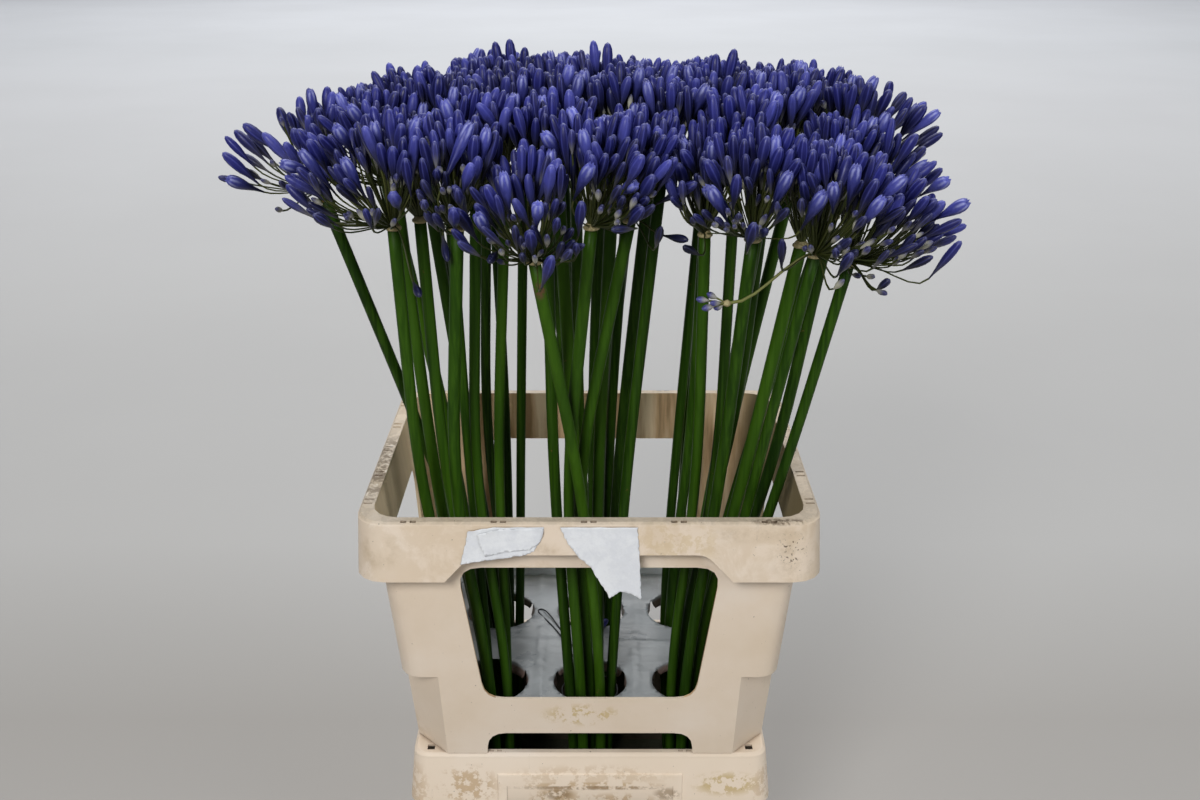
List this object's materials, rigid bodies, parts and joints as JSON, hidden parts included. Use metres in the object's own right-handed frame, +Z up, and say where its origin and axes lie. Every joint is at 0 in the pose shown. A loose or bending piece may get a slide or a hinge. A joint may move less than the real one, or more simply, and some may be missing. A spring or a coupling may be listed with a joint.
{
  "type": "agapanthus stems in a flower bucket",
  "caption": "Cut agapanthus stems in bud, in bunches through a holed film, in a windowed collar standing on a tapered water bucket.",
  "frame": {"origin": "centre of the bucket's underside, on the surface that it stands on", "axes": "+Z up along the stems, +X to the right along the long side seen from the front with the paper labels, +Y from that front to the back"},
  "size_m": [0.7179, 0.478, 0.9704],
  "materials": {
    "container_plastic": "satin moulded, scuffed and stained",
    "film": "thin creased clear-grey film",
    "water": "still water, see-through",
    "label_paper": "matt, torn and creased",
    "elastic_rubber": "matt",
    "stem": "smooth waxy living green stem",
    "bud": "soft satin petals"
  },
  "bodies": {
    "root": {"bucket": "container_plastic", "collar": "container_plastic", "film": "film", "water": "water", "label_left": "label_paper", "label_right": "label_paper", "elastic": "elastic_rubber", "stems_left_front": "stem", "umbel_left_front_1": "bud", "umbel_left_front_2": "bud", "umbel_left_front_3": "bud", "umbel_left_front_4": "bud", "umbel_left_front_5": "bud", "umbel_left_front_6": "bud", "umbel_left_front_7": "bud", "stems_left_rear": "stem", "umbel_left_rear_1": "bud", "umbel_left_rear_2": "bud", "umbel_left_rear_3": "bud", "umbel_left_rear_4": "bud", "umbel_left_rear_5": "bud", "umbel_left_rear_6": "bud", "umbel_left_rear_7": "bud", "stems_middle_front": "stem", "umbel_middle_front_1": "bud", "umbel_middle_front_2": "bud", "umbel_middle_front_3": "bud", "umbel_middle_front_4": "bud", "umbel_middle_front_5": "bud", "umbel_middle_front_6": "bud", "umbel_middle_front_7": "bud", "stems_middle_rear": "stem", "umbel_middle_rear_1": "bud", "umbel_middle_rear_2": "bud", "umbel_middle_rear_3": "bud", "umbel_middle_rear_4": "bud", "umbel_middle_rear_5": "bud", "umbel_middle_rear_6": "bud", "umbel_middle_rear_7": "bud", "stems_right_front": "stem", "umbel_right_front_1": "bud", "umbel_right_front_2": "bud", "umbel_right_front_3": "bud", "umbel_right_front_4": "bud", "umbel_right_front_5": "bud", "umbel_right_front_6": "bud", "umbel_right_front_7": "bud", "stems_right_rear": "stem", "umbel_right_rear_1": "bud", "umbel_right_rear_2": "bud", "umbel_right_rear_3": "bud", "umbel_right_rear_4": "bud", "umbel_right_rear_5": "bud", "umbel_right_rear_6": "bud", "umbel_right_rear_7": "bud"}
  },
  "joints": []
}
